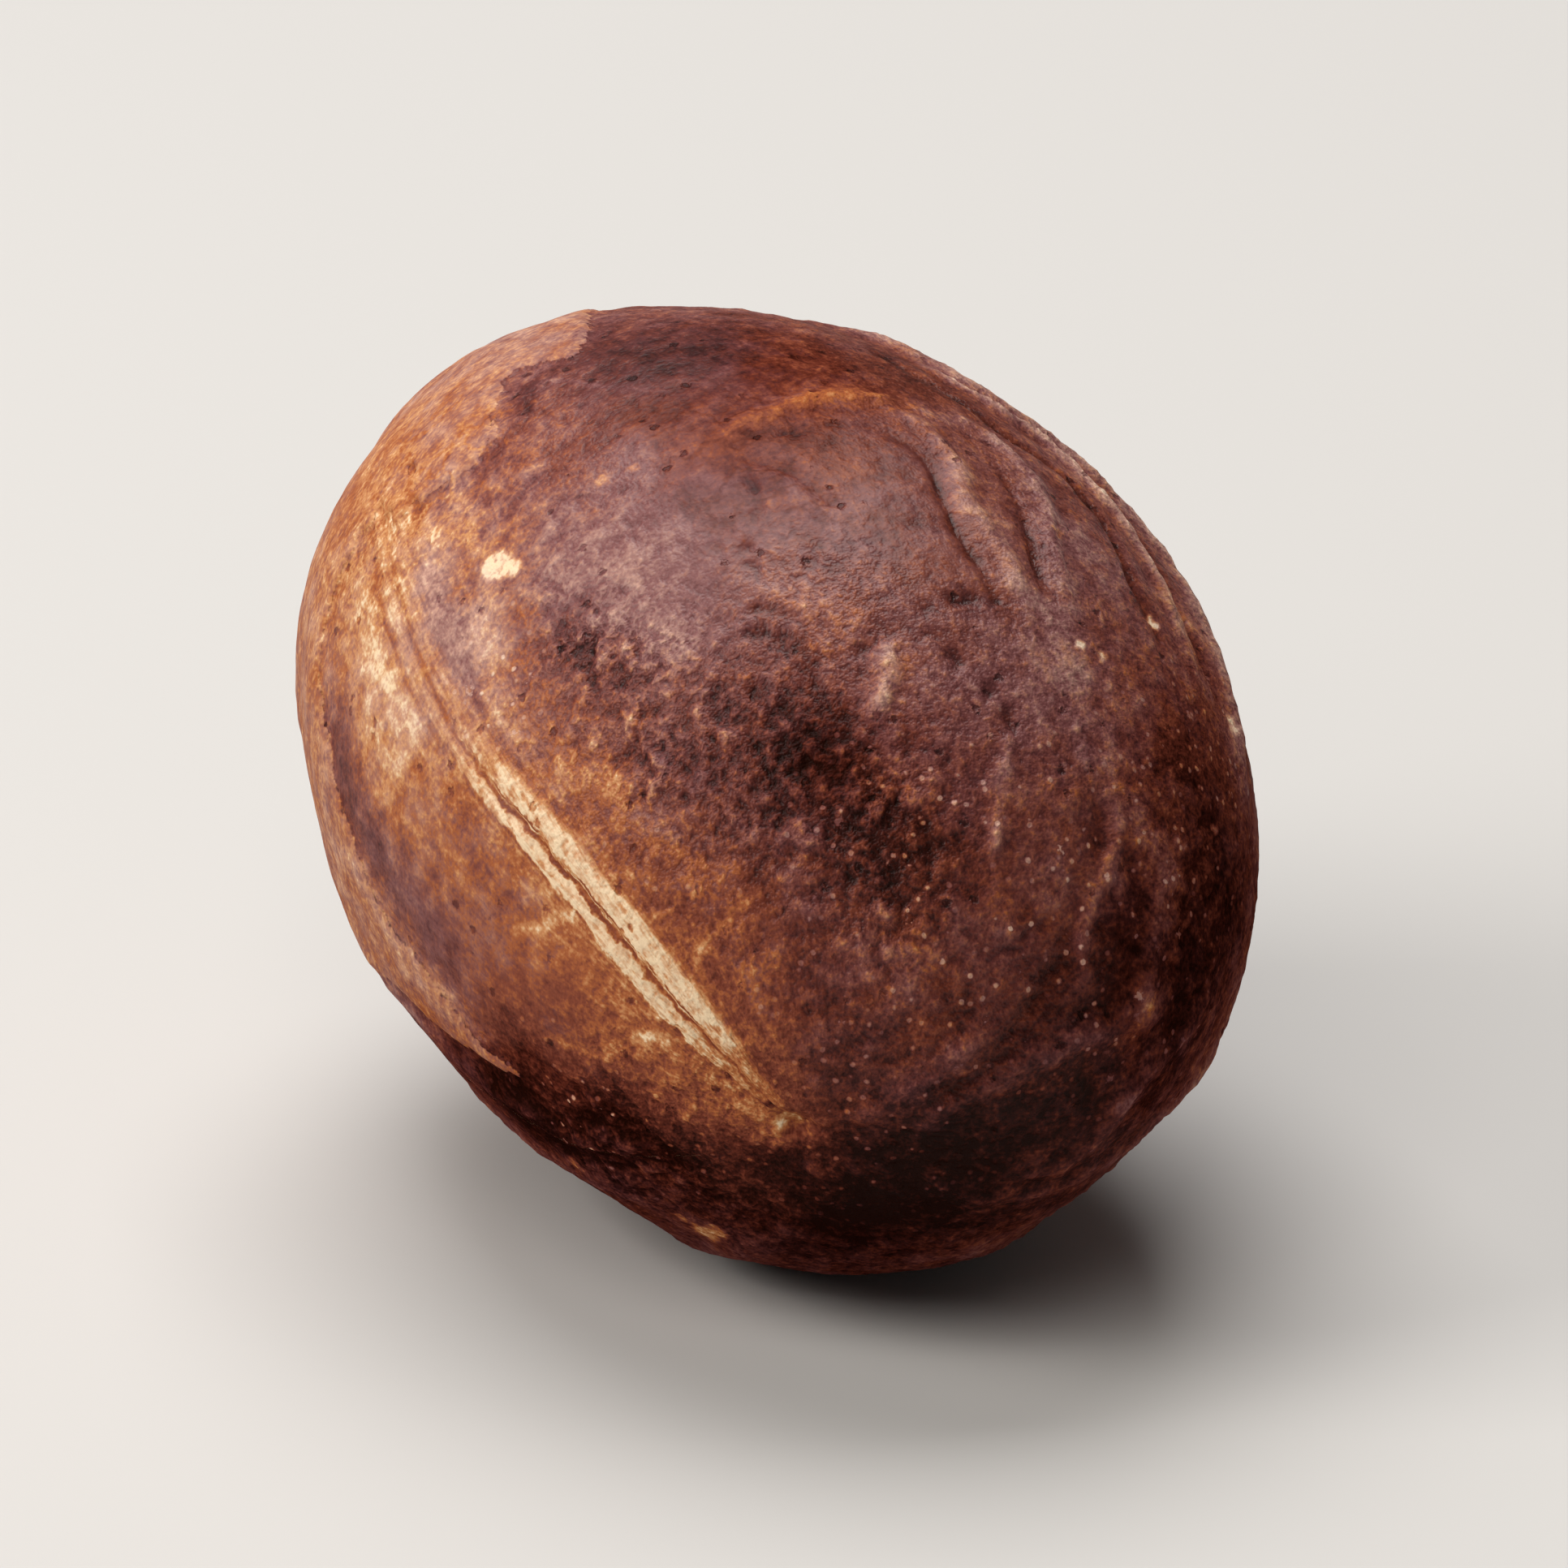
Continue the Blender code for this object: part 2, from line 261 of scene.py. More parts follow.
# Slow noise that bends what is drawn on the shell, so that nothing is too even: its length, its seeds for
# x, y and z, and its layers; then how far each kind of thing is bent, in millimetres, or in radii for
# patches.
SWAY_LENGTH = 2.4
SWAY_SEEDS = (8, 9, 10)
SWAY_LAYERS = 3
RELIEF_SWAY = 0.26
PATCH_SWAY = 0.06
STRIPE_SWAY = 0.08
FLAKE_SWAY = 0.07
PEBBLE_SWAY = 0.05
FILM_SWAY = 0.16

# Fibres run along the grain: how fast their noise changes round the hilum and along the reach.
FIBRES_ROUND = 6
FIBRES_ALONG = 1.2
FIBRES_REACH = (1e-3, 1e3)

# Colour by two numbers. The tone runs from near black to cream, the chill from orange brown to grey purple.
ORANGE_TONES = (
    (0.00, (0.014, 0.003, 0.0015)),
    (0.20, (0.042, 0.008, 0.005)),
    (0.40, (0.120, 0.025, 0.014)),
    (0.55, (0.213, 0.054, 0.028)),
    (0.70, (0.370, 0.110, 0.036)),
    (0.85, (0.570, 0.270, 0.112)),
    (1.00, (0.820, 0.630, 0.410)),
)
PURPLE_TONES = (
    (0.00, (0.014, 0.004, 0.003)),
    (0.20, (0.045, 0.012, 0.012)),
    (0.40, (0.120, 0.035, 0.034)),
    (0.55, (0.203, 0.078, 0.075)),
    (0.70, (0.335, 0.172, 0.144)),
    (0.85, (0.540, 0.308, 0.236)),
    (1.00, (0.800, 0.600, 0.450)),
)
BASE_TONE = 0.52
BASE_CHILL = 0.45

# Patches of colour: a spot, the width in degrees, the change of tone and the change of chill.
PATCHES = (
    # film at the back and left, and the orange flank between it and the seam
    (128, 114, 16, 0.03, 0.35),
    (130, 140, 14, 0.10, -0.30),
    (124, 146, 7, -0.12, 0.00),
    (121, 88, 6, 0.05, 0.15),
    (114, 128, 13, -0.06, 0.00),
    (113, 143, 6, -0.05, -0.10),
    (109, 150, 21, 0.28, -0.30),
    (106, 138, 17, 0.00, 0.06),
    (104, 131, 7, 0.06, 0.35),
    (102, 176, 5, -0.10, -0.30),
    (99, 145, 8, 0.00, 0.35),
    (97, 164, 6, 0.06, -0.05),
    (94, 156, 9, 0.00, 0.50),
    (93, 165, 9, 0.05, 0.00),
    (88, -168, 10, 0.02, -0.25),
    (88, 168, 13, 0.14, -0.30),
    (86, -169, 8, 0.05, 0.25),
    (76, 178, 8, 0.02, 0.15),
    (74, -172, 6, 0.04, -0.40),
    # warm ground round the lower seam and the hilum
    (74, 150, 8, 0.10, 0.00),
    (70, 167, 5, 0.06, 0.00),
    (69, 149, 6, -0.03, -0.20),
    (69, 151, 5, 0.07, 0.00),
    (66, 173, 10, 0.16, -0.25),
    (66, 179, 4, -0.08, -0.10),
    (64, 151, 7, 0.08, -0.10),
    (61, 170, 12, -0.03, -0.30),
    (59, -175, 5, 0.06, -0.20),
    (57, 148, 6, 0.06, 0.00),
    (54, 160, 4, 0.06, -0.20),
    (53, -171, 7, 0.06, -0.20),
    (53, 178, 9, 0.14, -0.35),
    (52, 153, 5, -0.03, -0.20),
    (50, 152, 10, -0.04, -0.25),
    (49, -165, 6, 0.14, -0.20),
    (46, -170, 5, 0.12, -0.20),
    (42, -153, 6, 0.12, -0.50),
    (41, 169, 8, 0.06, -0.30),
    (38, -167, 6, 0.36, -0.70),
    (35, 157, 7, -0.10, 0.00),
    (32, 173, 7, -0.12, 0.00),
    (24, 164, 6, 0.12, 0.00),
    # mostly painted shade below the film's lower edge
    (74, -152, 11, -0.50, -0.30),
    (70, -168, 6, -0.12, -0.30),
    (70, -160, 8, 0.06, 0.00),
    (64, -146, 9, -0.16, 0.00),
    (62, -163, 12, 0.00, -0.30),
    (59, -158, 5, -0.10, 0.00),
    (53, -160, 9, -0.26, -0.30),
    # bottom, at the end below the hilum: painted shade, darker than the shell's own colour
    (40, -135, 16, -0.10, 0.00),
    (36, -139, 14, -0.28, 0.00),
    (33, 29, 16, -0.27, -0.10),
    (25, -140, 25, -0.09, -0.30),
    (24, -152, 13, -0.20, 0.00),
    (20, -178, 7, -0.12, 0.00),
    (20, 10, 14, -0.20, 0.00),
    (15, -91, 14, -0.08, -0.20),
    (15, 177, 6, -0.12, 0.00),
    (14, -140, 14, 0.03, -0.20),
    (8, -91, 18, -0.24, 0.00),
    (8, 130, 9, -0.08, 0.00),
    # underside and far side, with a broad painted shade darkening the underside
    (110, -60, 24, -0.10, 0.10),
    (92, 26, 14, 0.06, 0.20),
    (80, -95, 50, -0.20, 0.00),
    (72, -14, 15, -0.12, 0.10),
    (60, -50, 20, 0.06, -0.20),
    # dark wrinkled middle
    (80, 134, 4, 0.06, 0.00),
    (80, 136, 4, -0.11, -0.20),
    (79, 133, 5, 0.05, 0.00),
    (66, 108, 6, 0.05, 0.00),
    (64, 110, 4, 0.08, 0.00),
    (64, 123, 4, 0.05, 0.00),
    (61, 99, 4, 0.06, 0.00),
    (60, 133, 8, -0.09, 0.10),
    (58, 128, 5, 0.05, 0.00),
    (56, 112, 4, 0.08, 0.00),
    (53, 121, 10, -0.34, -0.15),
    (53, 121, 7, 0.03, -0.10),
    (48, 112, 4, 0.08, 0.00),
    (48, 112, 8, -0.08, -0.10),
    (48, 118, 4, 0.08, 0.00),
    (45, 109, 5, 0.16, 0.20),
    (43, 116, 4, 0.10, 0.00),
    (43, 136, 4, -0.06, 0.00),
    (41, 119, 5, 0.09, 0.00),
    (40, 121, 7, -0.26, -0.15),
    (40, 133, 5, -0.06, 0.00),
    (37, 123, 5, 0.00, -0.40),
    # top: a purple hollow, the orange field, and in front of it a greyed bloom that is partly dust and
    # partly a painted sheen
    (109, 99, 11, -0.26, 0.25),
    (103, 102, 6, -0.04, 0.00),
    (101, 96, 8, 0.10, 0.25),
    (100, 125, 8, -0.06, -0.20),
    (99, 86, 9, -0.11, -0.60),
    (98, 70, 7, -0.16, -0.50),
    (94, 108, 6, -0.04, -0.35),
    (92, 102, 8, -0.08, -0.10),
    (87, 114, 5, -0.06, 0.00),
    (86, 132, 7, 0.00, 0.30),
    (86, 92, 6, 0.00, -0.35),
    # the greyed bloom: partly dust, partly a painted sheen of a broad reflection
    (84, 122, 12, 0.07, 0.90),
    (83, 82, 6, -0.06, 0.00),
    (82, 106, 6, -0.05, 0.00),
    # more of the bloom's painted sheen
    (78, 100, 12, 0.04, 0.20),
    (76, 89, 7, -0.05, 0.00),
    (74, 129, 5, 0.05, 0.30),
    (71, 103, 7, -0.06, 0.00),
    # right side; the darkening low on the right and at its far edge is partly painted shade
    (85, 69, 4, 0.08, 0.20),
    (70, 60, 9, 0.04, 0.45),
    # a painted highlight on a ridge
    (68, 40, 4, 0.20, 0.10),
    (60, 76, 7, 0.06, 0.00),
    (60, 88, 7, -0.04, 0.00),
    (57, 74, 9, 0.04, 0.50),
    (50, 94, 9, -0.04, 0.40),
    (49, 50, 6, -0.05, -0.20),
    (46, 44, 8, -0.14, -0.35),
    (45, 80, 8, 0.00, 0.25),
    (45, 99, 5, -0.06, 0.00),
    (42, 66, 9, 0.06, 0.10),
    (38, 104, 5, -0.10, 0.00),
    (31, 68, 5, -0.08, 0.00),
    (26, 45, 16, 0.00, -0.30),
    (21, 64, 6, -0.22, 0.00),
    (17, 111, 8, -0.05, 0.00),
    (13, 83, 6, -0.10, 0.00),
)

# Single flakes and spots: a spot, the radius in millimetres, the change of tone and the change of chill.
FLAKES = (
    (95.2, 137.2, 0.48, 0.33, -0.20),
    (93.2, 135.9, 0.30, 0.30, -0.20),
    (94, 120, 0.22, 0.16, -0.60),
    (93, 116, 0.16, 0.16, -0.60),
    (71, 66, 0.22, 0.10, -0.80),
    (63, 51, 0.22, 0.75, 0.30),
    (56, 70, 0.18, 0.60, 0.20),
    (41, 36, 0.17, 0.50, 0.20),
    (55, 66, 0.15, 0.40, 0.00),
    (57, -131, 0.45, 0.44, -0.40),
    (54.5, -133, 0.35, 0.40, -0.40),
    (58.5, -135, 0.26, 0.40, -0.40),
    (70, -142, 0.26, 0.36, -0.50),
    (58, 31, 0.30, 0.30, 0.10),
    (37, -168, 0.34, 0.18, -0.40),
    (39, -173, 0.12, -0.75, 0.00),
    (104, 151, 0.45, 0.10, -0.10),
    (120, -10, 0.70, 0.24, -0.30),
    (76, -36, 0.55, 0.26, -0.30),
    (96, 6, 0.40, 0.24, -0.20),
)

# Where the shell is pebbled by fine wrinkles, above 0, and where it is smooth, below: a spot, the width in
# degrees and the share.
WRINKLED = (
    (56, 126, 13, 1.00),
    (66, 140, 8, 0.70),
    (78, 136, 7, 0.60),
    (44, 122, 10, 0.60),
    (66, 105, 8, 0.40),
    (36, 135, 8, 0.40),
    (80, 136, 4.5, 1.00),
    (60, -155, 16, 0.90),
    (20, -150, 24, 0.50),
    (30, 40, 18, 0.50),
    (60, -60, 30, 0.50),
    (95, 20, 25, 0.45),
    (82, 110, 17, -0.90),
    (76, 88, 12, -0.60),
    (106, 102, 10, -0.50),
    (98, 160, 18, -0.60),
    (80, -175, 14, -0.60),
    (66, 177, 12, -0.50),
)

# How much of the shell's waxy coat shows where it is neither rubbed nor dull, from 0 to 1.
GLOSS = 0.38

# Where the shell is rubbed to a shine, above 0, and where it is dull, below: a spot, the width in degrees
# and the change of GLOSS.
RUBBED = (
    (80, 110, 18, 0.40),
    (62, 76, 18, 0.12),
    (97, 88, 12, -0.50),
    (52, 121, 11, -0.34),
    (92, 105, 9, -0.35),
    (81, 103, 8, -0.35),
    (87, 112, 7, -0.25),
    (48, 36, 17, -0.60),
    (72, -150, 14, -0.45),
    (33, 22, 20, -0.50),
    (60, -110, 60, -0.45),
    (30, 20, 24, -0.30),
)

# Where pale specks, partly painted glints, are thick, and where a net of veins shows: yellow above 0 and red
# below.
SPECKED = (
    (36, 120, 24, 0.65),
    (20, 60, 24, 0.50),
    (60, 165, 14, 0.45),
    (86, 148, 9, 0.90),
    (50, 40, 16, 0.50),
    (62, -158, 14, 0.90),
    (30, -165, 16, 0.50),
    (70, -60, 50, 0.35),
)
VEINED = (
    (55, 160, 14, 1.00),
    (116, 134, 12, 1.00),
    (104, 146, 20, 0.60),
    (84, 104, 18, -0.80),
    (66, 68, 16, -0.50),
    (110, 88, 12, -0.40),
    (100, -60, 60, 0.30),
)

# Noises of the finish: name, length of the waves in millimetres, detail and shift; and the noise along the
# fibres, its length in the fibres' own places and its detail.
FINISH_NOISES = (
    ("mottle", 1.9, 4, 0),
    ("blotches", 0.62, 3, 0),
    ("leather", 0.27, 2, 0),
    ("fine", 0.12, 1, 0),
    ("hue", 1.1, 4, 1),
    ("vein noise", 1.5, 3, 2),
)
STREAK_NOISE = (0.12, 3)
# One shift of a noise in metres, the gain that makes it reach about 1, and how much of each size the next
# one has.
NOISE_SHIFT = (0.11, 0.07, -0.09)
NOISE_GAIN = 4.0
DETAIL_SHARE = 0.55

# Dots of the finish, the specks among them pale spots that are partly painted glints: size of a cell in
# millimetres, shift, how ragged they are, the distances from the middle, in sizes, between which a dot
# starts and is full, and the cells' numbers between which they are left out and shown.
SMALL_SPECKS = (0.30, 0, 0.08, (0.34, 0.16), (0.5, 0.9))
LARGE_SPECKS = (0.85, 4, 0.15, (0.17, 0.04), (0.6, 0.95))
PITS = (0.80, 3, 0.05, (0.20, 0.08), (0.35, 0.6))

# Bands across a value: middle, reach and soft width. The seam's are across its offset, and noise breaks
# them up between two of its values.
VEIN_BAND = (0.0, 0.16, 0.14)
LIP_BANDS = ((-0.30, 0.30, 0.15), (0.50, 0.68, 0.45))
FURROW_BANDS = ((0.0, 0.12, 0.10), (0.20, 0.08, 0.07))
BESIDE_BAND = (0.2, 2.4, 2.1)
BREAKING_EDGE = (-0.9, 0.2)
FILM_EDGE = (-0.03, 0.05)
UNBROKEN_LIPS = 0.65

# Sums of layers: each row is an amount and the layers it multiplies. The bump is in millimetres.
OFFSET_NOISE = ((0.10, "blotches"), (0.07, "leather"))
BREAKING_NOISE = ((0.60, "streaks"),)
FILM_RAGGED = ((0.09, "leather"),)
TONE = (
    (1.00, "tone"),
    (0.08, "mottle"),
    (0.09, "blotches"),
    (0.11, "leather"),
    (0.08, "leather", "wrinkled"),
    (0.10, "fine"),
    (0.05, "fine", "wrinkled"),
    (0.05, "streaks"),
    (0.05, "streaks", "beside"),
    (0.06, "beside"),
    (0.10, "veins"),
    (-0.20, "pits"),
)
LIP_TONE = 0.96
LIP_TONE_CHANGES = ((0.09, "leather"), (0.09, "streaks"), (0.05, "fine"), (-0.20, "pits"))
LIP_COVER = 1.3
LIP_CHILL = 0.12
FURROW_TONE = 0.48
FURROW_COVER = 0.80
# pale specks, partly painted glints
SPECK_AND_GLINT_TONE = 1.00
FILM_TONE = 0.58
FILM_TONE_CHANGES = ((0.25, "tone"), (0.05, "mottle"), (0.09, "blotches"), (0.09, "leather"), (0.09, "fine"))
CHILL = (
    (1.00, "chill"),
    (0.40, "hue"),
    (0.10, "blotches"),
    (-0.20, "leather"),
    (-0.30, "fine"),
    (-0.40, "any veins"),
    (-0.30, "beside"),
    (0.60, "specks_and_glints"),
)
ROUGHNESS = 0.32
ROUGHNESS_CHANGES = (
    (0.07, "leather"),
    (0.05, "blotches"),
    (0.22, "film"),
    (0.18, "lips"),
    (-0.09, "wrinkled"),
)
GLOSS_CHANGES = ((1.00, "rubbed"), (-0.12, "film"), (-0.10, "lips"))
COAT_ROUGHNESS = 0.39
BUMP = (
    (0.006, "blotches"),
    (0.012, "blotches", "bare"),
    (0.007, "leather"),
    (0.009, "leather", "bare"),
    (0.017, "leather", "wrinkled"),
    (0.004, "fine"),
    (0.006, "fine", "bare"),
    (0.009, "fine", "wrinkled"),
    (0.015, "streaks", "beside"),
    (0.020, "specks_and_glints"),
    (-0.040, "pits"),
    (-0.030, "furrow"),
    (0.030, "film"),
)

# How noise is made: the mixing of cell numbers into random ones, the gain that makes waves reach about 1,
# and their mean size.
LARGEST_WORD = 0xFFFFFFFF
SEED_FACTOR = 2654435761
SEED_START = 97
FOLDED_BITS = 15
AXIS_FACTORS = (73856093, 19349663, 83492791)
MIXING_FACTOR = 2246822519
WAVE_GAIN = 1.6
MEAN_WAVE_SIZE = 0.3

# How lines are drawn: steps between places, for a line and for an outline, the distance that a path's
# samples may miss, in millimetres, and the share of a line over which it thins out at each end. Then a
# flake's edge, from full to none, in radii.
LINE_STEPS = 8
OUTLINE_STEPS = 10
LINE_MARGIN = 2
LINE_END = 0.2
FLAKE_EDGE = (0.75, 1.15)

# Studio: angles in degrees, sizes in metres, power in watts. A light's row is its name, azimuth from the
# camera to the left, elevation, distance, side, power, colour and whether the gloss mirrors it.
CAMERA_AZIMUTH = -29
CAMERA_ELEVATION = 23
CAMERA_DISTANCE = 0.5
CAMERA_SENSOR = 36
FRAME_WIDTH = 0.041
FLOOR_SIDE = 3.0
FLOOR_COLOUR = (0.60, 0.595, 0.58, 1)
FLOOR_ROUGHNESS = 0.8
AIR_COLOUR = (1.0, 0.99, 0.97, 1)
AIR_STRENGTH = 0.08
LIGHTS = (
    ("back_softbox", 168, 68, 0.40, 0.30, 1.5, (1.0, 0.97, 0.95), True),
    ("left_key", 75, 35, 0.40, 0.20, 0.9, (1.0, 0.95, 0.90), True),
    ("front_fill", 15, 50, 0.40, 0.22, 0.5, (1.0, 0.95, 0.90), False),
)


def direction(spot):
    """Unit vector to a spot, in the nutmeg's own frame with the hilum end at +Z."""
    from_axis, around = math.radians(spot[0]), math.radians(spot[1])
    level = math.sin(from_axis)
    return np.array([level * math.cos(around), level * math.sin(around), math.cos(from_axis)])


class Grain:
    """Grain places on the unit sphere: polar coordinates about the hilum in the stereographic plane seen
    from the chalaza, scaled and turned so that the seam's middle is at reach 1 and turn 0."""

    def __init__(self):
        self.pole = direction(CHALAZA)
        self.first = np.cross(self.pole, (0, 0, 1))
        self.first /= np.linalg.norm(self.first)
        self.second = np.cross(self.pole, self.first)
        self.start = self.flat(direction(HILUM))
        self.unit = self.flat(direction(SEAM_MIDDLE)) - self.start

    def flat(self, n):
        """Place of unit vectors n on the plane, as complex numbers."""
        return (n @ self.first + 1j * (n @ self.second)) / (1 - n @ self.pole)

    def to_sphere(self, reach, turn):
        """Unit vectors at grain places, the turn in radians."""
        plane = self.start + self.unit * reach * np.exp(1j * turn)
        square = np.abs(plane) ** 2
        level = 2 * np.stack([plane.real, plane.imag], -1)
        raised = level @ np.stack([self.first, self.second]) + (square - 1)[..., None] * self.pole
        return raised / (square + 1)[..., None]


GRAIN = Grain()


def body_points(n):
    """The smooth body: an ellipsoid of the driving sizes, narrowed in proportion towards the hilum end."""
    narrow = 1 - TAPER * n[..., 2]
    round_part = n[..., :2] * (WIDTH / 2 * narrow)[..., None]
    return np.concatenate([round_part, n[..., 2:] * LENGTH / 2], -1)


def body_normals(n):
    """Outward unit normals of the ellipsoid."""
    scaled = n / np.array([WIDTH / 2, WIDTH / 2, LENGTH / 2])
    return scaled / np.linalg.norm(scaled, axis=-1, keepdims=True)


def bell(distance, width):
    """A smooth rise of height 1 that falls to 0.37 at the given width."""
    return np.exp(-((distance / width) ** 2))


def smooth_step(x, low, high):
    """0 below low, 1 above high and a smooth S between them."""
    t = np.clip((x - low) / (high - low), 0, 1)
    return t * t * (3 - 2 * t)


def scatter(cells, seed):
    """Even numbers from 0 to 1, one for each whole-number cell: the cell's numbers multiplied by odd
    constants, mixed and folded."""
    word = np.uint64(LARGEST_WORD)
    mixed = np.full(cells.shape[:-1], (seed * SEED_FACTOR + SEED_START) & LARGEST_WORD, np.uint64)
    for axis, odd in enumerate(AXIS_FACTORS):
        mixed = (mixed ^ (cells[..., axis].astype(np.int64).astype(np.uint64) * np.uint64(odd))) & word
        mixed = (mixed * np.uint64(MIXING_FACTOR)) & word
        mixed ^= mixed >> np.uint64(FOLDED_BITS)
    return mixed.astype(float) / LARGEST_WORD


def waves(points, length, seed):
    """Gradient noise, about -1 to 1: each corner of a lattice of the given length has a random slope, and
    the eight around a point are blended by a quintic S."""
    scaled = points / length
    cell = np.floor(scaled)
    part = scaled - cell
    fade = part**3 * (part * (part * 6 - 15) + 10)
    total = np.zeros(points.shape[:-1])
    for corner in itertools.product((0, 1), repeat=3):
        corner = np.array(corner)
        around = 2 * math.pi * scatter(cell + corner, seed)
        height = 2 * scatter(cell + corner, seed + 1) - 1
        level = np.sqrt(1 - height**2)
        slope = np.stack([level * np.cos(around), level * np.sin(around), height], -1)
        weight = np.prod(np.where(corner, fade, 1 - fade), -1)
        total += weight * ((part - corner) * slope).sum(-1)
    return WAVE_GAIN * total


def layered(points, length, seed, layers):
    """Sum of noises, each of half the length and half the height of the one before."""
    return sum(waves(points, length / 2**k, seed + 10 * k) / 2**k for k in range(layers))


def billows(points, length, seed, layers):
    """Rounded humps with narrow valleys between them, about -0.5 to 0.5: the size of each layer of noise,
    less its mean."""
    sizes = (np.abs(waves(points, length / 2**k, seed + 10 * k)) - MEAN_WAVE_SIZE for k in range(layers))
    return sum(size / 2**k for k, size in enumerate(sizes))


def smooth_path(places, steps, closed=False):
    """Points along a smooth curve through the given places, one span after another: Catmull-Rom cubics."""
    places = np.array(places, float)
    if closed:
        padded = np.concatenate([places[-1:], places, places[:2]])
    else:
        padded = np.concatenate([2 * places[:1] - places[1:2], places, 2 * places[-1:] - places[-2:-1]])
    t = np.linspace(0, 1, steps, endpoint=False)[:, None, None]
    a, b, c, d = padded[:-3], padded[1:-2], padded[2:-1], padded[3:]
    curve = b + 0.5 * t * (c - a + t * (2 * a - 5 * b + 4 * c - d + t * (3 * (b - c) + d - a)))
    curve = curve.transpose(1, 0, 2).reshape(-1, places.shape[1])
    return curve if closed else np.concatenate([curve, places[-1:]])


def line_distance(points, path):
    """Distance from points to a path of short spans, and how far along it the nearest place is, 0 to 1."""
    best = np.full(points.shape[:-1], np.inf)
    along = np.zeros(points.shape[:-1])
    spans = len(path) - 1
    for k in range(spans):
        span = path[k + 1] - path[k]
        t = np.clip((points - path[k]) @ span / (span @ span), 0, 1)
        distance = np.linalg.norm(points - path[k] - t[..., None] * span, axis=-1)
        closer = distance < best
        best = np.where(closer, distance, best)
        along = np.where(closer, (k + t) / spans, along)
    return best, along


def inside_distance(points, n, outline):
    """Distance in from a closed outline of spots, below 0 outside it. Inside is told by how often a line
    from the point crosses the outline, on the plane seen from opposite the outline's middle. Tiny numbers
    keep the divisions finite."""
    corners = np.stack([direction(spot) for spot in outline])
    curve = smooth_path(corners, OUTLINE_STEPS, closed=True)
    curve /= np.linalg.norm(curve, axis=-1, keepdims=True)
    path = body_points(np.concatenate([curve, curve[:1]]))
    distance, _ = line_distance(points, path)
    middle = curve.mean(0)
    middle /= np.linalg.norm(middle)
    side = np.cross(middle, (0, 0, 1))
    side /= np.linalg.norm(side)
    up = np.cross(middle, side)

    def flat(v):
        return np.stack([v @ side, v @ up], -1) / (1 + v @ middle + 1e-9)[..., None]

    x, y = flat(n).T
    crossings = np.zeros(len(points), int)
    corners_flat = flat(curve)
    for (x0, y0), (x1, y1) in zip(corners_flat, np.roll(corners_flat, -1, 0)):
        level = (y0 > y) != (y1 > y)
        crossings += level & (x < x0 + (y - y0) * (x1 - x0) / (y1 - y0 + 1e-12))
    return np.where(crossings % 2 == 1, distance, -distance)


def even_steps(lengths, count):
    """Numbers from 0 to 1 at which a running total of the lengths grows evenly, as many as count."""
    total = np.concatenate([[0], np.cumsum(lengths)])
    return np.interp(np.linspace(0, total[-1], count), total, np.linspace(0, 1, len(total)))


def skin_grid():
    """Reach and turn of each ring and column, spaced so that the rings and the columns stand about evenly
    apart on the body, the columns closer where they crowd."""
    polar = np.linspace(0, math.pi, GRID_SAMPLES)
    turn = np.linspace(-math.pi, math.pi, GRID_SAMPLES)
    reach = np.tan(polar[:-1] / 2)
    body = body_points(GRAIN.to_sphere(reach[:, None], turn[None, ::ROUGH_STEP]))
    ring_steps = np.linalg.norm(np.diff(body, axis=0), axis=-1).mean(1)
    polar = even_steps(ring_steps, RINGS + 2) * polar[-2]
    girth = body_points(GRAIN.to_sphere(np.array(GIRTH_REACHES)[:, None], turn[None]))
    column_steps = np.linalg.norm(np.diff(girth, axis=1), axis=-1).mean(0)
    middle = np.degrees(turn[1:] + turn[:-1]) / 2
    column_steps *= 1 + sum(extra * bell(middle - at, width) for at, width, extra in COLUMN_CROWDING)
    turn = (even_steps(column_steps, COLUMNS + 1) * 2 - 1) * math.pi
    return np.tan(polar[1:-1] / 2), turn[:-1]


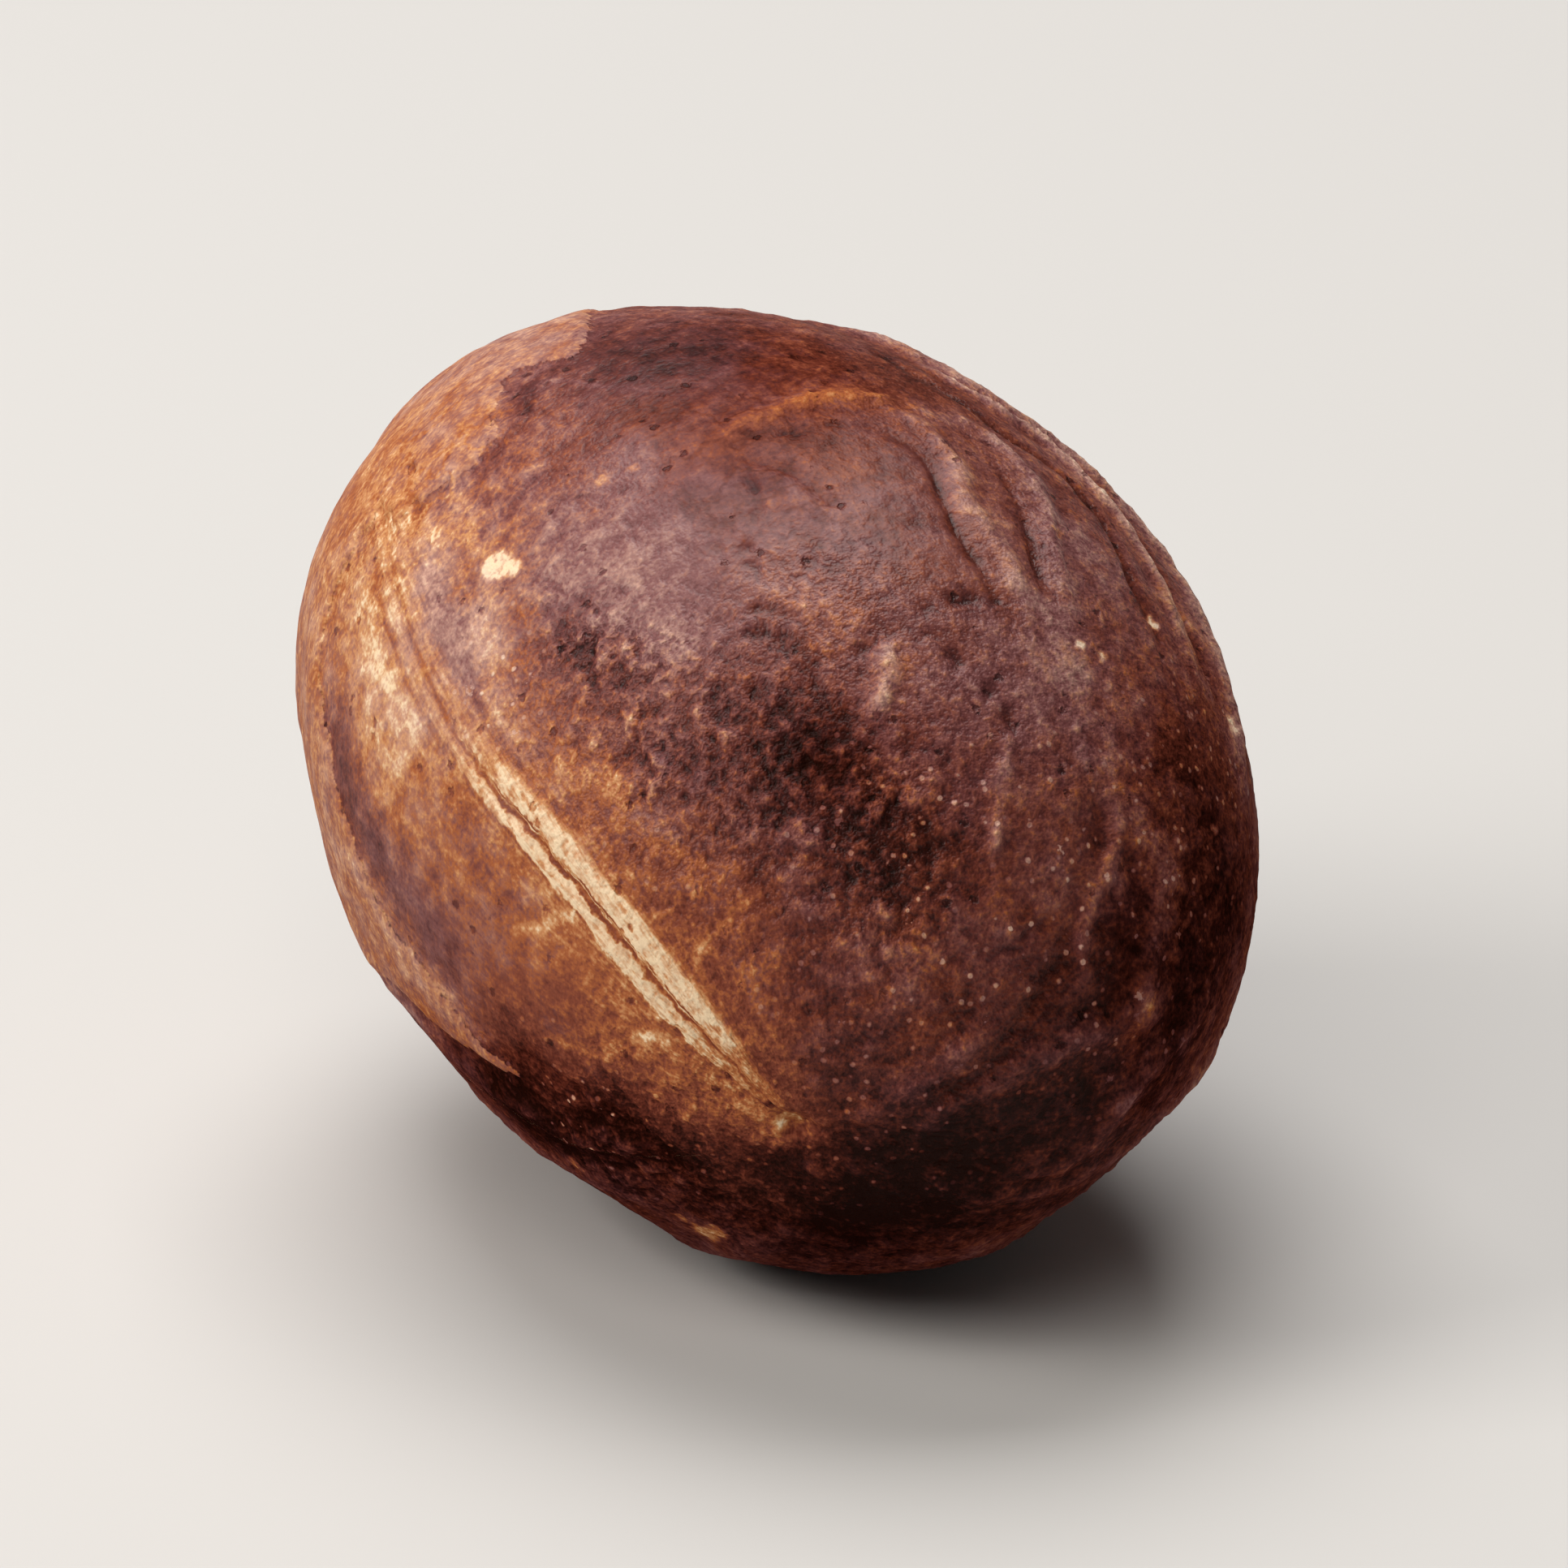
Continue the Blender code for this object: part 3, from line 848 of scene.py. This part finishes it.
class Shell:
    """The skin's vertices before their relief: grain places, unit vectors, places on the smooth body, and
    those places and vectors bent by slow noise."""

    def __init__(self):
        reach, turn = (a.ravel() for a in np.meshgrid(*skin_grid(), indexing="ij"))
        self.reach = np.concatenate([[POLE_REACHES[0]], reach, [POLE_REACHES[1]]])
        self.turn = np.concatenate([[0], turn, [0]])
        self.n = GRAIN.to_sphere(self.reach, self.turn)
        self.body = body_points(self.n)
        self.sway = np.stack([layered(self.body, SWAY_LENGTH, seed, SWAY_LAYERS) for seed in SWAY_SEEDS], -1)
        self.bent = self.body + RELIEF_SWAY * self.sway
        self.bent_n = self.n + PATCH_SWAY * self.sway
        self.bent_n /= np.linalg.norm(self.bent_n, axis=-1, keepdims=True)

    def noises(self, rows):
        """Sum of noises. Each row is a height, the length of the waves and a seed."""
        return sum(height * waves(self.body, length, seed) for height, length, seed in rows)

    def patches(self, rows):
        """Sum of round patches. Each row is a spot and a width in degrees, then its amounts."""
        total = np.zeros((len(self.n), len(rows[0]) - 3))
        for from_axis, around, width, *amounts in rows:
            angle = np.arccos(np.clip(self.bent_n @ direction((from_axis, around)), -1, 1))
            total += bell(angle, math.radians(width))[:, None] * amounts
        return total.squeeze()

    def lines(self, rows, points):
        """Sum of lines, a bell across each, thinned out towards both ends. Each row is its amounts, then
        its half width and places. Only points near a line, found by every fourth place of its path, are
        worked out."""
        total = np.zeros((len(self.n), len(rows[0]) - 2))
        for *amounts, width, places in rows:
            logs = [(math.log(reach), math.radians(turn)) for reach, turn in places]
            curve = smooth_path(logs, LINE_STEPS)
            path = body_points(GRAIN.to_sphere(np.exp(curve[:, 0]), curve[:, 1]))
            nearest = np.linalg.norm(points[:, None] - path[None, ::4], axis=-1).min(1)
            close = nearest < 4 * width + LINE_MARGIN
            distance, along = line_distance(points[close], path)
            ends = smooth_step(along, 0, LINE_END) * (1 - smooth_step(along, 1 - LINE_END, 1))
            total[close] += (ends * bell(distance, width))[:, None] * amounts
        return total.squeeze()

    def flakes(self, rows):
        """Sum of single spots with clean edges. Each row is a spot and a radius, then its amounts."""
        total = np.zeros((len(self.n), len(rows[0]) - 3))
        ragged = self.body + FLAKE_SWAY * self.sway
        for from_axis, around, radius, *amounts in rows:
            distance = np.linalg.norm(ragged - body_points(direction((from_axis, around))), axis=-1)
            edge = smooth_step(distance, FLAKE_EDGE[0] * radius, FLAKE_EDGE[1] * radius)
            total += (1 - edge)[:, None] * amounts
        return total

    def scar(self, place, sizes):
        """A round hollow with a raised rim."""
        radius, depth, rim = sizes
        distance = np.linalg.norm(self.bent - body_points(direction(place)), axis=-1)
        raised = rim * bell(distance - RIM_PLACE * radius, RIM_WIDTH * radius)
        return raised - depth * bell(distance, HOLLOW_WIDTH * radius)

    def seam(self):
        """Offset across the seam from its furrow, in the lips' own sizes, and the seam's presence. The
        furrow is at turn 0 and swings a little to both ends; the offset is the distance to it at the same
        reach, shared out by how wide the seam is there, and far away on the other side."""
        before = 1 - smooth_step(self.reach, *SEAM_SWING_BEFORE)
        furrow = math.radians(SEAM_SWING) * (before + smooth_step(self.reach, *SEAM_SWING_AFTER))
        line = body_points(GRAIN.to_sphere(self.reach, furrow))
        away = self.turn - furrow
        distance = np.linalg.norm(self.body - line, axis=-1) * np.sign(np.sin(away))
        distance += self.noises(SEAM_WOBBLE)
        fullness = bell(np.log(self.reach / SEAM_WIDEST_REACH), SEAM_WIDE_RANGE)
        width = SEAM_NARROW_SHARE + (1 - SEAM_NARROW_SHARE) * fullness
        width *= smooth_step(self.reach, *SEAM_POINT)
        offset = np.where(np.cos(away) < 0, OTHER_SIDE_OFFSET, distance / width)
        presence = smooth_step(self.reach, *SEAM_START)
        presence *= 1 - SEAM_FADE_SHARE * smooth_step(self.reach, *SEAM_FADE)
        return offset, presence * (1 - smooth_step(self.reach, *SEAM_END))

    def film(self):
        """Distance in from the film's edge, below 0 outside it. The edge is ragged, and strays into islands
        in places."""
        inside = inside_distance(self.body + FILM_SWAY * self.sway, self.n, FILM_OUTLINE)
        islands = self.patches(FILM_ISLANDS) * layered(self.body, *ISLAND_NOISE)
        return inside + self.noises(FILM_EDGE_NOISE) + islands


def seam_relief(offset, presence):
    """The seam's lips and furrow, a bell across the seam for each."""
    bells = (height * bell(offset - middle, width) for middle, width, height in (*SEAM_LIPS, SEAM_FURROW))
    return sum(bells) * presence


def fine_relief(shell, bare, wrinkled):
    """Leathery humps, pebbles in the wrinkled parts, and grit over both. The film covers most of it."""
    height, *noise = LEATHER
    leather = height * bare * (1 + LEATHER_BY_WRINKLES * wrinkled) * billows(shell.bent, *noise)
    height, *noise = PEBBLES
    pebbles = height * np.clip(wrinkled, 0, 1) * billows(shell.body + PEBBLE_SWAY * shell.sway, *noise)
    height, *noise = GRIT
    shown = GRIT_THROUGH_FILM + (1 - GRIT_THROUGH_FILM) * bare
    grit = height * shown * (1 + GRIT_BY_WRINKLES * wrinkled) * layered(shell.body, *noise)
    return leather + pebbles + grit


def shell_fields(shell):
    """The relief in millimetres, and the fields that the finish reads: where the film, the seam, wrinkles,
    shine, specks and veins are, and the tone and chill of stripes, patches, flakes, folds and relief, the
    relief's share being a painted highlight and sheen on crests and painted shade in hollows."""
    offset, presence = shell.seam()
    film = shell.film()
    bare = 1 - smooth_step(film, *SHELL_RELIEF_END)
    wrinkled = np.clip(shell.patches(WRINKLED), -1, 1) * bare

    ridges = shell.lines(RIDGE_LINES, shell.bent)
    whole = smooth_step(waves(shell.body, *FOLD_NOISE), *FOLD_START)
    folds = shell.lines(FOLD_LINES, shell.bent) * whole[:, None]
    height, *noise = SWELLS
    swells = height * layered(shell.body, *noise)
    texture = fine_relief(shell, bare, wrinkled)
    relief = shell.patches(LUMPS) + seam_relief(offset, presence) + ridges + folds[:, 0] + swells + texture
    relief += shell.scar(HILUM, HILUM_SCAR) + shell.scar(CHALAZA, CHALAZA_SCAR)
    relief += FILM_THICKNESS * smooth_step(film, *FILM_RISE)

    colour = shell.patches(PATCHES) + shell.flakes(FLAKES)
    colour += shell.lines(STRIPES, shell.body + STRIPE_SWAY * shell.sway)
    # Crests are painted lighter and greyer, a painted highlight and sheen, and hollows darker and redder, a
    # painted shade.
    painted_ridge_sheen_and_shade = RIDGE_SHEEN_AND_SHADE_CHILL * np.clip(ridges, -CHILL_RIDGE_LIMIT, CHILL_RIDGE_LIMIT)
    fields = {
        "film": film,
        "seam_offset": offset,
        "seam_presence": presence,
        "tone": BASE_TONE + colour[:, 0] + folds[:, 1] + RIDGE_HIGHLIGHT_AND_SHADE_TONE * ridges + TEXTURE_HIGHLIGHT_AND_SHADE_TONE * texture,
        "chill": BASE_CHILL + colour[:, 1] + painted_ridge_sheen_and_shade + TEXTURE_SHEEN_AND_SHADE_CHILL * texture,
        "wrinkled": wrinkled,
        "rubbed": shell.patches(RUBBED),
        "specked": shell.patches(SPECKED),
        "veined": np.clip(shell.patches(VEINED), -1, 1),
    }
    return relief, fields


def make_skin():
    """The skin: the smooth body moved out along its normals by the relief, with the fields and, in the
    vector field of fibres, places that change fast round the hilum and slowly along the grain."""
    shell = Shell()
    relief, fields = shell_fields(shell)
    points = place_on_floor(shell.body + body_normals(shell.n) * relief[:, None])
    mesh = bpy.data.meshes.new("nutmeg_skin")
    mesh.from_pydata((points * MM).tolist(), [], skin_faces())
    mesh.shade_smooth()
    for name, values in fields.items():
        mesh.attributes.new(name, "FLOAT", "POINT").data.foreach_set("value", values)
    round_hilum = FIBRES_ROUND * np.stack([np.cos(shell.turn), np.sin(shell.turn)], -1)
    along = FIBRES_ALONG * np.log(np.clip(shell.reach, *FIBRES_REACH))
    fibres = np.concatenate([round_hilum, along[:, None]], -1)
    mesh.attributes.new("fibres", "FLOAT_VECTOR", "POINT").data.foreach_set("vector", fibres.ravel())
    mesh.materials.append(shell_finish())
    skin = bpy.data.objects.new("nutmeg_skin", mesh)
    bpy.context.collection.objects.link(skin)
    return skin


def skin_faces():
    """Squares between neighbouring rings and columns, and a fan of triangles at each scar."""
    column = np.arange(COLUMNS)
    right = np.roll(column, -1)
    start = np.arange(RINGS - 1)[:, None] * COLUMNS + 1
    next_start = start + COLUMNS
    squares = np.stack([start + column, next_start + column, next_start + right, start + right], -1)
    last = 1 + (RINGS - 1) * COLUMNS
    pole = 1 + RINGS * COLUMNS
    near_fan = np.stack([np.zeros_like(column), 1 + column, 1 + right], -1)
    far_fan = np.stack([last + right, last + column, np.full_like(column, pole)], -1)
    return squares.reshape(-1, 4).tolist() + near_fan.tolist() + far_fan.tolist()


def place_on_floor(shell):
    """Turns the shell from its own frame to lie on the floor, and moves it to the middle of the solid's
    box. What would reach below the floor is pressed flat."""
    turned = shell.copy()
    angle = math.pi / 2 + DIP
    turned[:, 1] = shell[:, 1] * math.cos(angle) - shell[:, 2] * math.sin(angle)
    turned[:, 2] = shell[:, 1] * math.sin(angle) + shell[:, 2] * math.cos(angle)
    low, high = (np.array(corner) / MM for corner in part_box("nutmeg"))
    middle = (turned.min(0) + turned.max(0)) / 2
    turned[:, :2] += (low + high)[:2] / 2 - middle[:2]
    turned[:, 2] += high[2] - turned[:, 2].max()
    turned[:, 2] = np.maximum(turned[:, 2], low[2])
    return turned


class Graph:
    """Builds a material's nodes. A value given to a node is a number, a colour or another node's output."""

    def __init__(self, name):
        self.material = bpy.data.materials.new(name)
        self.material.use_nodes = True
        self.nodes = self.material.node_tree.nodes
        self.links = self.material.node_tree.links
        self.shader = self.nodes["Principled BSDF"]
        self.place = self.add("ShaderNodeTexCoord").outputs["Object"]

    def give(self, socket, value):
        if isinstance(value, bpy.types.NodeSocket):
            self.links.new(value, socket)
        else:
            socket.default_value = value

    def add(self, kind, inputs=None, **settings):
        node = self.nodes.new(kind)
        for name, value in settings.items():
            setattr(node, name, value)
        for name, value in (inputs or {}).items():
            self.give(node.inputs[name], value)
        return node

    def math(self, operation, *values):
        node = self.add("ShaderNodeMath", dict(enumerate(values)), operation=operation)
        return node.outputs[0]

    def plus(self, *values):
        total = values[0]
        for value in values[1:]:
            total = self.math("ADD", total, value)
        return total

    def times(self, *values):
        total = values[0]
        for value in values[1:]:
            total = self.math("MULTIPLY", total, value)
        return total

    def total(self, start, rows, layers):
        """The start plus a sum. Each row is an amount and the names of the layers it multiplies."""
        value = start
        for amount, *names in rows:
            value = self.plus(value, self.times(amount, *(layers[name] for name in names)))
        return value

    def limit(self, value):
        """The value kept from 0 to 1."""
        return self.math("MINIMUM", self.math("MAXIMUM", value, 0.0), 1.0)

    def toward(self, value, goal, share):
        """The value moved towards the goal by a share of the way."""
        return self.plus(value, self.times(self.math("SUBTRACT", goal, value), share))

    def step(self, value, low, high):
        """A smooth step from 0 at low to 1 at high."""
        inputs = {"Value": value, "From Min": low, "From Max": high}
        return self.add("ShaderNodeMapRange", inputs, interpolation_type="SMOOTHSTEP").outputs["Result"]

    def band(self, value, middle, reach, soft):
        """1 around the middle, fading over the soft width to 0 at the reach."""
        away = self.math("ABSOLUTE", self.math("SUBTRACT", value, middle))
        return self.step(away, reach, reach - soft)

    def field(self, name):
        return self.add("ShaderNodeAttribute", attribute_name=name).outputs["Fac"]

    def shifted(self, shift):
        """The place moved along a slant, so that noises of one size differ."""
        slant = tuple(shift * part for part in NOISE_SHIFT)
        return self.add("ShaderNodeVectorMath", {0: self.place, 1: slant}, operation="ADD").outputs["Vector"]

    def noise(self, size, detail, place=None, shift=0):
        """Noise of about -1 to 1 with waves as long as size, in millimetres unless a place is given."""
        scale = 1 / (size * MM) if place is None else 1 / size
        inputs = {
            "Vector": place or self.shifted(shift),
            "Scale": scale,
            "Detail": detail,
            "Roughness": DETAIL_SHARE,
        }
        value = self.add("ShaderNodeTexNoise", inputs, noise_dimensions="3D").outputs["Fac"]
        return self.times(self.math("SUBTRACT", value, 0.5), NOISE_GAIN)

    def grains(self, size, shift):
        """Round grains, one to each cell of the size in millimetres: the distance from a grain's middle in
        sizes, and the grain's own random number."""
        inputs = {"Vector": self.shifted(shift), "Scale": 1 / (size * MM)}
        node = self.add("ShaderNodeTexVoronoi", inputs, voronoi_dimensions="3D")
        red = self.add("ShaderNodeSeparateColor", {"Color": node.outputs["Color"]}).outputs["Red"]
        return node.outputs["Distance"], red

    def ramp(self, value, stops):
        node = self.add("ShaderNodeValToRGB", {"Fac": value})
        elements = node.color_ramp.elements
        while len(elements) < len(stops):
            elements.new(0.5)
        for element, (position, colour) in zip(elements, stops):
            element.position = position
            element.color = (*colour, 1)
        return node.outputs["Color"]

    def blend(self, share, first, second):
        """A mix of two colours. The node's sockets 0, 6 and 7 are the ones it uses for colours."""
        node = self.add("ShaderNodeMix", data_type="RGBA")
        for index, value in ((0, share), (6, first), (7, second)):
            self.give(node.inputs[index], value)
        return node.outputs[2]


def seam_layers(graph, layers):
    """The seam's pale lips, its dark furrow with a finer crack beside it, and the ground beside the seam.
    Noise breaks up the furrow and thins the lips."""
    presence = graph.field("seam_presence")
    offset = graph.total(graph.field("seam_offset"), OFFSET_NOISE, layers)
    broken = graph.step(graph.total(layers["blotches"], BREAKING_NOISE, layers), *BREAKING_EDGE)
    left, right = (graph.band(offset, *band) for band in LIP_BANDS)
    furrow, crack = (graph.band(offset, *band) for band in FURROW_BANDS)
    whole = graph.plus(UNBROKEN_LIPS, graph.times(broken, 1 - UNBROKEN_LIPS))
    return {
        "lips": graph.times(graph.math("MAXIMUM", left, right), presence, whole),
        "furrow": graph.times(graph.math("MAXIMUM", furrow, graph.times(crack, broken)), presence, broken),
        "beside": graph.times(graph.band(offset, *BESIDE_BAND), graph.math("SQRT", presence)),
    }


def dots(graph, fine, size, shift, ragged, edge, pick):
    """Round dots, at most one to a cell: inside the edge, and where the cell's number is picked."""
    distance, number = graph.grains(size, shift)
    inside = graph.step(graph.plus(distance, graph.times(fine, ragged)), *edge)
    return graph.times(inside, graph.step(number, *pick))


def shell_layers(graph):
    """What the finish is mixed from, by name: the mesh's fields, noises, and shares from 0 to 1."""
    layers = {name: graph.field(name) for name in ("tone", "chill", "wrinkled", "rubbed")}
    for name, size, detail, shift in FINISH_NOISES:
        layers[name] = graph.noise(size, detail, shift=shift)
    fibres = graph.add("ShaderNodeAttribute", attribute_name="fibres").outputs["Vector"]
    layers["streaks"] = graph.noise(*STREAK_NOISE, place=fibres)
    layers["film"] = graph.step(graph.total(graph.field("film"), FILM_RAGGED, layers), *FILM_EDGE)
    layers["bare"] = graph.math("SUBTRACT", 1.0, layers["film"])
    layers["veins"] = graph.times(graph.field("veined"), graph.band(layers["vein noise"], *VEIN_BAND))
    layers["any veins"] = graph.math("ABSOLUTE", layers["veins"])
    layers.update(seam_layers(graph, layers))
    # Specks: pale spots, partly painted glints.
    small, large = (dots(graph, layers["fine"], *sizes) for sizes in (SMALL_SPECKS, LARGE_SPECKS))
    either = graph.math("MAXIMUM", small, large)
    layers["specks_and_glints"] = graph.times(either, graph.field("specked"), layers["bare"])
    layers["pits"] = graph.times(dots(graph, layers["fine"], *PITS), layers["bare"])
    return layers


def shell_tone(graph, layers):
    """The shell's tone, and over it those of the seam's lips, the furrow, the specks, which are partly
    painted glints, and the film.
    """
    tone = graph.total(0.0, TONE, layers)
    lip_cover = graph.math("MINIMUM", graph.times(layers["lips"], LIP_COVER), 1.0)
    tone = graph.toward(tone, graph.total(LIP_TONE, LIP_TONE_CHANGES, layers), lip_cover)
    tone = graph.toward(tone, FURROW_TONE, graph.times(layers["furrow"], FURROW_COVER))
    tone = graph.toward(tone, SPECK_AND_GLINT_TONE, layers["specks_and_glints"])
    return graph.toward(tone, graph.total(FILM_TONE, FILM_TONE_CHANGES, layers), layers["film"])


def shell_finish():
    """The shell's skin: its colour by tone and chill, matt in itself, under a waxy coat that is thick where
    the shell is rubbed and thin on the film and the lips, with a fine bump in both."""
    graph = Graph("nutmeg_shell_skin")
    layers = shell_layers(graph)
    tone = shell_tone(graph, layers)
    chill = graph.limit(graph.toward(graph.total(0.0, CHILL, layers), LIP_CHILL, layers["lips"]))
    height = graph.times(graph.total(0.0, BUMP, layers), MM)
    bump = graph.add("ShaderNodeBump", {"Height": height, "Distance": 1.0, "Strength": 1.0})
    finish = {
        "Base Color": graph.blend(chill, graph.ramp(tone, ORANGE_TONES), graph.ramp(tone, PURPLE_TONES)),
        "Roughness": graph.total(ROUGHNESS, ROUGHNESS_CHANGES, layers),
        "Specular IOR Level": 0.0,
        "Normal": bump.outputs["Normal"],
        "Coat Weight": graph.limit(graph.total(GLOSS, GLOSS_CHANGES, layers)),
        "Coat Roughness": COAT_ROUGHNESS,
        "Coat Normal": bump.outputs["Normal"],
    }
    for socket, value in finish.items():
        graph.give(graph.shader.inputs[socket], value)
    return graph.material


def studio():
    """A pale floor, soft even air, three soft lights and the camera."""
    floor_mesh = bpy.data.meshes.new("floor")
    half = FLOOR_SIDE / 2
    corners = [(-half, -half, 0), (half, -half, 0), (half, half, 0), (-half, half, 0)]
    floor_mesh.from_pydata(corners, [], [(0, 1, 2, 3)])
    floor = bpy.data.objects.new("floor", floor_mesh)
    bpy.context.collection.objects.link(floor)
    material = bpy.data.materials.new("pale_floor")
    material.use_nodes = True
    shader = material.node_tree.nodes["Principled BSDF"]
    shader.inputs["Base Color"].default_value = FLOOR_COLOUR
    shader.inputs["Roughness"].default_value = FLOOR_ROUGHNESS
    floor_mesh.materials.append(material)

    world = bpy.data.worlds.new("studio_air")
    world.use_nodes = True
    air = world.node_tree.nodes["Background"]
    air.inputs["Color"].default_value = AIR_COLOUR
    air.inputs["Strength"].default_value = AIR_STRENGTH
    bpy.context.scene.world = world
    for light in LIGHTS:
        add_light(*light)

    azimuth, elevation = math.radians(CAMERA_AZIMUTH), math.radians(CAMERA_ELEVATION)
    low, high = (np.array(corner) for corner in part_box("nutmeg"))
    data = bpy.data.cameras.new("camera")
    data.lens = CAMERA_SENSOR * CAMERA_DISTANCE / FRAME_WIDTH
    data.sensor_width = CAMERA_SENSOR
    camera = bpy.data.objects.new("camera", data)
    camera.location = (low + high) / 2 + CAMERA_DISTANCE * from_camera_side(azimuth, elevation)
    camera.rotation_euler = (math.pi / 2 - elevation, 0, azimuth)
    bpy.context.collection.objects.link(camera)
    bpy.context.scene.camera = camera
    bpy.context.scene.view_settings.view_transform = "Standard"


def from_camera_side(azimuth, elevation):
    """Unit vector that points out from the nutmeg: azimuth 0 is straight at -Y and grows towards +X."""
    level = math.cos(elevation)
    return np.array([math.sin(azimuth) * level, -math.cos(azimuth) * level, math.sin(elevation)])


def add_light(name, azimuth, elevation, distance, side, power, colour, mirrored):
    """A square soft light that faces the nutmeg. Its azimuth is counted from the camera to the camera's
    left."""
    data = bpy.data.lights.new(name, "AREA")
    data.shape = "SQUARE"
    data.size = side
    data.energy = power
    data.color = colour
    light = bpy.data.objects.new(name, data)
    around = math.radians(CAMERA_AZIMUTH - azimuth)
    up = math.radians(elevation)
    light.location = distance * from_camera_side(around, up)
    light.rotation_euler = (math.pi / 2 - up, 0, around)
    light.visible_glossy = mirrored
    bpy.context.collection.objects.link(light)


skin = make_skin()
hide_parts("nutmeg")
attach(skin, "root")
studio()
